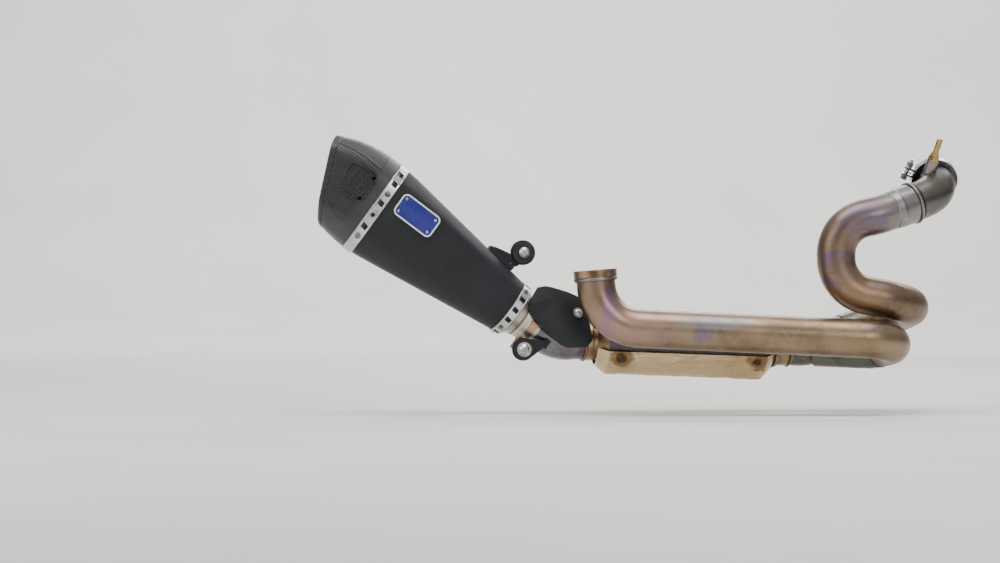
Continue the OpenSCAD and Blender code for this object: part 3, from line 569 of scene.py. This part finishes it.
def smooth_group():
    """Smooth shading, with edges over 24 degrees kept sharp."""
    g = bpy.data.node_groups.new("smooth_by_angle", "GeometryNodeTree")
    g.interface.new_socket("Geometry", in_out="INPUT", socket_type="NodeSocketGeometry")
    g.interface.new_socket("Geometry", in_out="OUTPUT", socket_type="NodeSocketGeometry")
    start, end = g.nodes.new("NodeGroupInput"), g.nodes.new("NodeGroupOutput")
    angle, over = g.nodes.new("GeometryNodeInputMeshEdgeAngle"), g.nodes.new("FunctionNodeCompare")
    over.data_type, over.operation = "FLOAT", "GREATER_THAN"
    over.inputs[1].default_value = math.radians(24)
    faces, edges = g.nodes.new("GeometryNodeSetShadeSmooth"), g.nodes.new("GeometryNodeSetShadeSmooth")
    faces.domain, edges.domain = "FACE", "EDGE"
    edges.inputs["Shade Smooth"].default_value = False
    link = g.links.new
    link(start.outputs[0], faces.inputs[0])
    link(faces.outputs[0], edges.inputs[0])
    link(angle.outputs[0], over.inputs[0])
    link(over.outputs[0], edges.inputs["Selection"])
    link(edges.outputs[0], end.inputs[0])
    return g


def finish_node(name, material):
    obj = NODES[name]
    obj.data.materials.clear()
    obj.data.materials.append(material)
    if "custom_normal" in obj.data.attributes:
        obj.data.attributes.remove(obj.data.attributes["custom_normal"])
    obj.modifiers.new("weld", "WELD").merge_threshold = 1e-5
    obj.modifiers.new("smooth", "NODES").node_group = SMOOTH
    if name not in UNBEVELLED:
        m = obj.modifiers.new("edges", "BEVEL")
        m.width, m.segments = .35 * MM, 2
        m.limit_method, m.angle_limit = "ANGLE", math.radians(40)
        m.harden_normals = True


SMOOTH = smooth_group()
# tubes and hidden fills, whose edges need no bevel
UNBEVELLED = {"front_header", "rear_header", "collector", "collector_branch", "link_pipe",
              "front_elbow", "packing", "catalyst_brick", "catalyst_mat", "core_tube",
              "silencer_sleeve", "end_cap", "cap_mesh"}
# nodes whose look differs from the rest of their slot
OWN_LOOK = {"rear_header": MAT["rear_header"], "cap_screws": BLACK_STEEL,
            "front_band_rivets": BAND_RIVET, "rear_band_rivets": BAND_RIVET}
for item in frame["record"]["subparts"]:
    finish_node(item["node"], OWN_LOOK.get(item["node"]) or MAT[item["material_slot"]])

# ---- welds ----

ELBOW_DIR = unit(V((-100, -43, -35)))
ELBOW_JOINT = V((3, -44, -21)) + ELBOW_DIR * 58
MERGE = CAN_FRONT - CAN * 48

ring_weld("weld_can_front", CAN_FRONT + CAN * 5.5, CAN, 31.2, "pipework", DARK_WELD, 2.0)
ring_weld("weld_outlet", MERGE + CAN * 30, CAN, 29.7, "pipework", DARK_WELD, 1.6)
ring_weld("weld_can_rear", CAN_REAR - CAN * 3.2, CAN, 29.9, "pipework", WELD, 1.5)
ring_weld("weld_elbow_bead", ELBOW_JOINT - ELBOW_DIR * 9.5, ELBOW_DIR, 29.2, "elbow", DARK_WELD, 1.1)
ring_weld("weld_inlet", sil(0, 0, -29.3), SIL, 31.8, "silencer", WELD, 1.0)


def saddle(name, node, centre, d, r, body, material, radius):
    """A weld where a tube of radius r along d meets a node's surface, found from 2 mm back."""
    mesh = NODES[node].data
    tree = BVHTree.FromPolygons([v.co for v in mesh.vertices], [p.vertices for p in mesh.polygons])
    hits = [tree.ray_cast((p - d * 2) * MM, d)[0] for p in circle(centre, d, r, 260)]
    weld(name, [p / MM for p in hits if p is not None], body, material, radius)


SENSOR_DIR = unit((28, -30, 94))
seat = V((-18, -28, -6)) + SENSOR_DIR * 33
saddle("weld_sensor_boss", "front_elbow", seat, -SENSOR_DIR, 9, "elbow", WELD, 1.3)


# the step at the front header's wider mouth, as place along the joint and distance from its axis
SOCKET_STEP = [(23, 30.3), (25.2, 30.25), (27.5, 29.9), (30, 29.45),
               (33, 29.1), (37, 29.02), (37, 28.9), (23, 28.9)]
pts, faces = loft([circle(ELBOW_JOINT + ELBOW_DIR * z, ELBOW_DIR, r, 160) for z, r in SOCKET_STEP])
add("socket_fillet", pts, faces, "pipework", MAT["heat_tinted_titanium"])

# ---- heat shields: crumpled foil below, and a fibrous blanket above ----

# the foil's outline along the can, as distance from its axis and place along it
LINE = [(TUBE_R + 6, 10), (SHIELD_R, SHIELD_CONE), (SHIELD_R, CAN_LEN - SHIELD_CONE), (TUBE_R + 8, CAN_LEN - 8)]
FOIL_FROM, FOIL_TO = -92, 72
BLANKET_FROM, BLANKET_TO, BLANKET_R = 73.5, 150.5, 46.45


def crumple(p):
    """How far the foil stands out at p: shallow facets and long soft dents."""
    d = noise.voronoi(p * .045 + V((4.1, 7.3, 2.2)))[0]
    s = V((p.x * .03, p.y * .09, p.z * .09))
    return .9 * min(1, d[1] - d[0]) + 1.5 * noise.noise(s) + .8 * noise.noise(s * 2.7 + V((3, 1, 8))) - .6


def profile(t):
    """The foil's outline at t from 0 to 1 of its length."""
    lengths = [math.dist(a, b) for a, b in zip(LINE, LINE[1:])]
    s = t * sum(lengths)
    last = len(lengths) - 1
    for i, length in enumerate(lengths):
        if s <= length or i == last:
            f = min(1, s / length)
            return [a + (b - a) * f for a, b in zip(LINE[i], LINE[i + 1])]
        s -= length


def foil_piece():
    steps, rows = 200, 210
    outer, inner = [], []
    for j in range(rows + 1):
        r, z = profile(j / rows)
        edge = min(1, min(j, rows - j) / 8)
        for i in range(steps + 1):
            a = FOIL_FROM + (FOIL_TO - FOIL_FROM) * i / steps
            rim = min(1, min(i, steps - i) / 6)
            p = can_point(z, a, r)
            lift = crumple(p) * edge * (.25 + .75 * rim) + .5 * (1 - rim)
            outer.append(can_point(z, a, r + .8 + lift))
            inner.append(can_point(z, a, r + .1 + lift))
    n, k = steps + 1, len(outer)
    faces = []
    for j in range(rows):
        for i in range(steps):
            a = j * n + i
            faces += [(a, a + 1, a + n + 1, a + n), (k + a, k + a + n, k + a + n + 1, k + a + 1)]
    for i in range(steps):
        b = rows * n + i
        faces += [(i, k + i, k + i + 1, i + 1), (b, b + 1, k + b + 1, k + b)]
    for j in range(rows):
        a, b = j * n, (j + 1) * n
        faces += [(a, b, k + b, k + a), (a + n - 1, k + a + n - 1, k + b + n - 1, b + n - 1)]
    add("crumpled_foil", outer + inner, faces, "pipework", MAT["shield_foil"],
        replaces=("lower_heat_shield",))


def blanket_piece():
    steps, rows, back_steps = 150, 260, 20
    width = BLANKET_TO - BLANKET_FROM
    rings = []
    for j in range(rows + 1):
        z = SHIELD_CONE + (CAN_LEN - 2 * SHIELD_CONE) * j / rows
        wave = 2.2 * noise.noise(V((z * .05, 1, 2)))
        ring = []
        for i in range(steps + 1):
            a = BLANKET_FROM + width * i / steps
            f = .6 + .8 * noise.noise(V((z * .16, a * .11, 5))) + .6 * noise.noise(V((z * .5, a * .4, 9)))
            edge = math.sin(math.pi * i / steps) ** .3
            ring.append(can_point(z, a + wave * (1 - edge), BLANKET_R + .15 + (2.8 + f) * edge))
        ring += [can_point(z, BLANKET_FROM + width * i / back_steps, BLANKET_R)
                 for i in range(back_steps, -1, -1)]
        rings.append(ring)
    pts, faces = loft(rings, False, True)
    add("fibre_blanket", pts, faces, "pipework", MAT["shield_blanket"],
        replaces=("upper_heat_shield",))


foil_piece()
blanket_piece()

# ---- silencer: fine skins that stand for the faceted ones ----

STEPS = 288
ANGLES = [360 * i / STEPS for i in range(STEPS)]
BULKHEAD = SLEEVE_LEN - 16


def sleeve_ring(f, grow):
    """A ring of the sleeve, f running from 0 at its front to 2 at its slanted rear end."""
    if f <= 1:
        return [section(a, SLEEVE_FRONT + (BULKHEAD - SLEEVE_FRONT) * f, grow) for a in ANGLES]
    end = CAP_Z - .3
    return [section(a, BULKHEAD, grow).lerp(section(a, end, grow, REAR_SLANT), f - 1) for a in ANGLES]


outside = [sleeve_ring(k / 20, 0) for k in range(41)]
pts, faces = loft(outside + [sleeve_ring(f, -SLEEVE_WALL) for f in (2, 1, 0)])
add("sleeve_skin", pts, faces, "silencer", MAT["satin_black"],
    replaces=("silencer_sleeve",))


def cap_strip(name, t0, t1, out):
    """A raised band round the end cap, from t0 to t1 along it."""
    under = .2

    def swell(t):
        return min(1, t / .33) * min(1, (1 - t) / .34)

    rings = []
    for k in range(5):
        t = t0 + (t1 - t0) * k / 4
        rings.append([cap_point(a, t, swell(t) + out * (1 if 0 < k < 4 else .55)) for a in ANGLES])
    rings.append([cap_point(a, t1, swell(t1) - under) for a in ANGLES])
    rings.append([cap_point(a, t0, swell(t0) - under) for a in ANGLES])
    p, f = loft(rings)
    add(name, p, f, "silencer", RIM)


cap_strip("cap_rim_strip", .9, .999, .8)
cap_strip("cap_collar", 0, .07, .9)


def hem(name, z, grow, slant=0):
    """A rolled edge of a band."""
    line = [section(a, z, grow, slant) for a in ANGLES]
    p, f = sweep(line, .75, True, 8)
    add(name, p, f, "silencer", MAT["bright_band"])


hem("rear_band_hem_front", SLEEVE_LEN + .7, 1.6, REAR_SLANT)
hem("rear_band_hem_rear", SLEEVE_LEN + 15.3, 1.6, REAR_SLANT)
hem("front_band_hem_front", -15.3, 1.4)
hem("front_band_hem_rear", -1.7, 1.4)


def tilted(angle, y, out):
    """Turn a place on a flat that leans by an angle: its y along the silencer, and how far it stands out."""
    tip = math.radians(angle)
    return y * math.cos(tip) + out * math.sin(tip), -y * math.sin(tip) + out * math.cos(tip)


# ---- badge: the pale border of the plain plate ----

def badge_point(x, y, out):
    z, v = tilted(-3.4, y, out)
    return sil(22 + x, -HALF_W + 1.9 - v, 198 + z)


def badge_outline(hx, hy, r, steps=16):
    """A rectangle with round corners, hx and hy being its half sizes."""
    out = []
    for cx, cy, start in ((1, 1, 0), (-1, 1, 90), (-1, -1, 180), (1, -1, 270)):
        for k in range(steps + 1):
            a = math.radians(start + 90 * k / steps)
            out.append((cx * (hx - r) + r * math.cos(a), cy * (hy - r) + r * math.sin(a)))
    return out


def badge_frame(name, hx, hy, r, width, z0, z1):
    outer, inner = badge_outline(hx, hy, r), badge_outline(hx - width, hy - width, r - width)
    rings = [[badge_point(x, y, z) for x, y in line]
             for line, z in ((outer, z0), (outer, z1), (inner, z1), (inner, z0))]
    p, f = loft(rings)
    add(name, p, f, "silencer", WHITE, smooth=False)


badge_frame("badge_border", 18.4, 34.4, 8.4, 2.2, 1.0, 2.1)


# ---- end cap: a fine mesh in the side recess, its frame, and the cap's ridges ----

def cap_side(x, y, out):
    """A place on the cap's outer side: x up, y rearwards, out from the side."""
    z, v = tilted(6.9, y, out)
    return sil(-10 + x, -HALF_W - 1 - v, CAP_Z + 5 + z)


def in_recess(x, y, shrink):
    top = 64 + (x - 2) * 6 / 32
    return -4 + shrink <= x <= 44 - shrink and 25 + shrink <= y <= top - shrink


def mesh_piece():
    """Two crossing sets of wires, each cut off at the recess's edge."""
    spacing, wire, step = 3.6 * 1.4142, .42, .2
    pts, faces = [], []
    for slope, shift in ((1, 0), (-1, 40)):
        for k in range(-40, 60):
            run = []
            for i in range(260):
                x = -6 + i * step
                y = k * spacing + slope * x + shift
                if in_recess(x, y, 1.0):
                    run.append((x, y))
            if len(run) < 6:
                continue
            a, b = (cap_side(x, y, 1.0 + .25 * slope) for x, y in (run[0], run[-1]))
            p, f = sweep([a, a.lerp(b, .5), b], wire, False, 6)
            faces += [tuple(v + len(pts) for v in q) for q in f]
            pts += p
    add("recess_mesh", pts, faces, "silencer", RIM)


def ridge(name, line, r, material=RIM):
    p, f = sweep(line, r, False, 8)
    add(name, p, f, "silencer", material)


def on_cap(a, t, out):
    return cap_point(a, t, min(1, 3 * t, 3 * (1 - t)) + out)


mesh_piece()

BEVEL_ANGLE, STEP_AT = 50, .24      # the upper bevel's angle and place where it begins
for side, name in ((1, "inner"), (-1, "outer")):
    bevel = [on_cap(side * (BEVEL_ANGLE - 12 * k / 50), STEP_AT + .66 * k / 50, .1) for k in range(51)]
    step = [on_cap(side * (BEVEL_ANGLE * k / 30), STEP_AT, .1) for k in range(31)]
    low = [on_cap(side * (128 + 6 * math.sin(k / 10)), .3 + .5 * k / 40, .05) for k in range(41)]
    ridge("cap_bevel_ridge_" + name, bevel, .9)
    ridge("cap_step_ridge_" + name, step, .9)
    ridge("cap_low_crease_" + name, low, .7)

# the recess's edges: their two ends, and how much the second end drops
RECESS_EDGES = [((-6, 33), (-6, 62), .6), ((-6, 33), (-1, 26.5), 0), ((46, 33), (41, 26.5), 0),
                ((46, 33), (47, 60), .6), ((-1, 26.5), (41, 26.5), 0)]
for k, ((x0, y0), (x1, y1), drop) in enumerate(RECESS_EDGES):
    line = [cap_side(x0 + (x1 - x0) * i / 12, y0 + (y1 - y0) * i / 12, 3 - drop * i / 12) for i in range(13)]
    ridge("recess_edge_%d" % k, line, .9)
# the four slot cuts: short black cords whose black is painted shade in the openings
for k in range(4):
    line = [cap_side(6 + k * 9, 26 - .5 * i, 2.9 + .15 * i) for i in range(6)]
    ridge("slot_painted_shade_%d" % k, line, 1.3, MAT["black_rubber"])

# ---- threads on the screws that show ----

# each screw, the middle of its bush, its length past it and its radius
for name, bush, length, r in (("hanger_bolt", sil(80, 0, 26), 24.4, 3.5),
                              ("lower_bolt", sil(-42.5, -37, -54), 18.9, 3.85)):
    thread(name + "_thread", bush + SIN * (length - 9), SIN, r, 8.6, name, MAT["zinc"], 1.25)

# ---- stage ----

def plain(name, base, rough):
    n = Nodes(name)
    c = n.mix(n.span(n.noise(2.5, 3), .3, .7, 0, .5), base, "#d9d8d5")
    return n.done(c, n.span(n.noise(30), .3, .7, rough, rough + .1), 0)


def backdrop():
    """A pale floor, 50 mm under the part, that curves up into a wall far behind it."""
    low, bend, wall = CAD_BOX[0].z - .05, 1.6, 7.2
    turns = [math.radians(a) for a in range(0, 91, 6)]
    line = [(-6, 0)] + [(wall - bend + bend * math.sin(a), bend - bend * math.cos(a)) for a in turns]
    line.append((wall, 5))
    pts = [(x, y, low + z) for y, z in line for x in (-7.5, 6.5)]
    mesh = bpy.data.meshes.new("stage_floor")
    mesh.from_pydata(pts, [], [(2 * i, 2 * i + 1, 2 * i + 3, 2 * i + 2) for i in range(len(line) - 1)])
    mesh.polygons.foreach_set("use_smooth", [True] * len(mesh.polygons))
    obj = bpy.data.objects.new("stage_floor", mesh)
    bpy.context.scene.collection.objects.link(obj)
    mesh.materials.append(plain("stage_pale", "#e6e5e2", .7))


def lamp(name, at, to, size, power, tint=(1, 1, 1)):
    light = bpy.data.lights.new(name, "AREA")
    light.shape, light.size, light.size_y = "RECTANGLE", size[0], size[1]
    light.energy, light.color = power, tint
    obj = bpy.data.objects.new(name, light)
    bpy.context.scene.collection.objects.link(obj)
    obj.location = at
    obj.rotation_euler = (V(to) - V(at)).to_track_quat("-Z", "Y").to_euler()


backdrop()
MID = (-.5, -.05, -.15)
lamp("lamp_top", (-.6, -.5, 2.2), MID, (2.6, 1.6), 60, (1, .99, .97))
lamp("lamp_left", (-2.6, -1.6, .8), MID, (1.4, 1.6), 22, (.95, .98, 1))
lamp("lamp_front", (.9, -3.0, .9), MID, (1.2, 1.2), 22, (1, .98, .95))
lamp("lamp_back", (.2, 1.7, 1.3), MID, (2.2, .8), 26)
lamp("lamp_wall", (-.5, 3.4, 3.6), (-.5, 7.2, .6), (5, 1), 330)


def studio_world():
    """Grey light that is darkest at the horizon and white overhead."""
    world = bpy.data.worlds.new("studio")
    bpy.context.scene.world = world
    world.use_nodes = True
    tree = world.node_tree
    coord, split = tree.nodes.new("ShaderNodeTexCoord"), tree.nodes.new("ShaderNodeSeparateXYZ")
    height, ramp = tree.nodes.new("ShaderNodeMapRange"), tree.nodes.new("ShaderNodeValToRGB")
    height.inputs["From Min"].default_value = -1
    tree.links.new(coord.outputs["Generated"], split.inputs[0])
    tree.links.new(split.outputs[2], height.inputs["Value"])
    tree.links.new(height.outputs[0], ramp.inputs[0])
    stops = ramp.color_ramp.elements
    stops[0].position, stops[0].color = 0, (.42, .41, .40, 1)
    stops[1].position, stops[1].color = 1, (1, 1, 1, 1)
    for at, v in ((.45, .25), (.55, .3), (.75, .8)):
        stops.new(at).color = (v, v, v * 1.02, 1)
    background = tree.nodes["Background"]
    tree.links.new(ramp.outputs[0], background.inputs["Color"])
    background.inputs["Strength"].default_value = .75


studio_world()

camera = bpy.data.cameras.new("photo_view")
camera.sensor_width, camera.lens = 36, 96
cam = bpy.data.objects.new("photo_view", camera)
bpy.context.scene.collection.objects.link(cam)
cam.location = (-.6686, -4.11, -.1563)
cam.rotation_euler = (math.radians(90), 0, 0)
bpy.context.scene.camera = cam
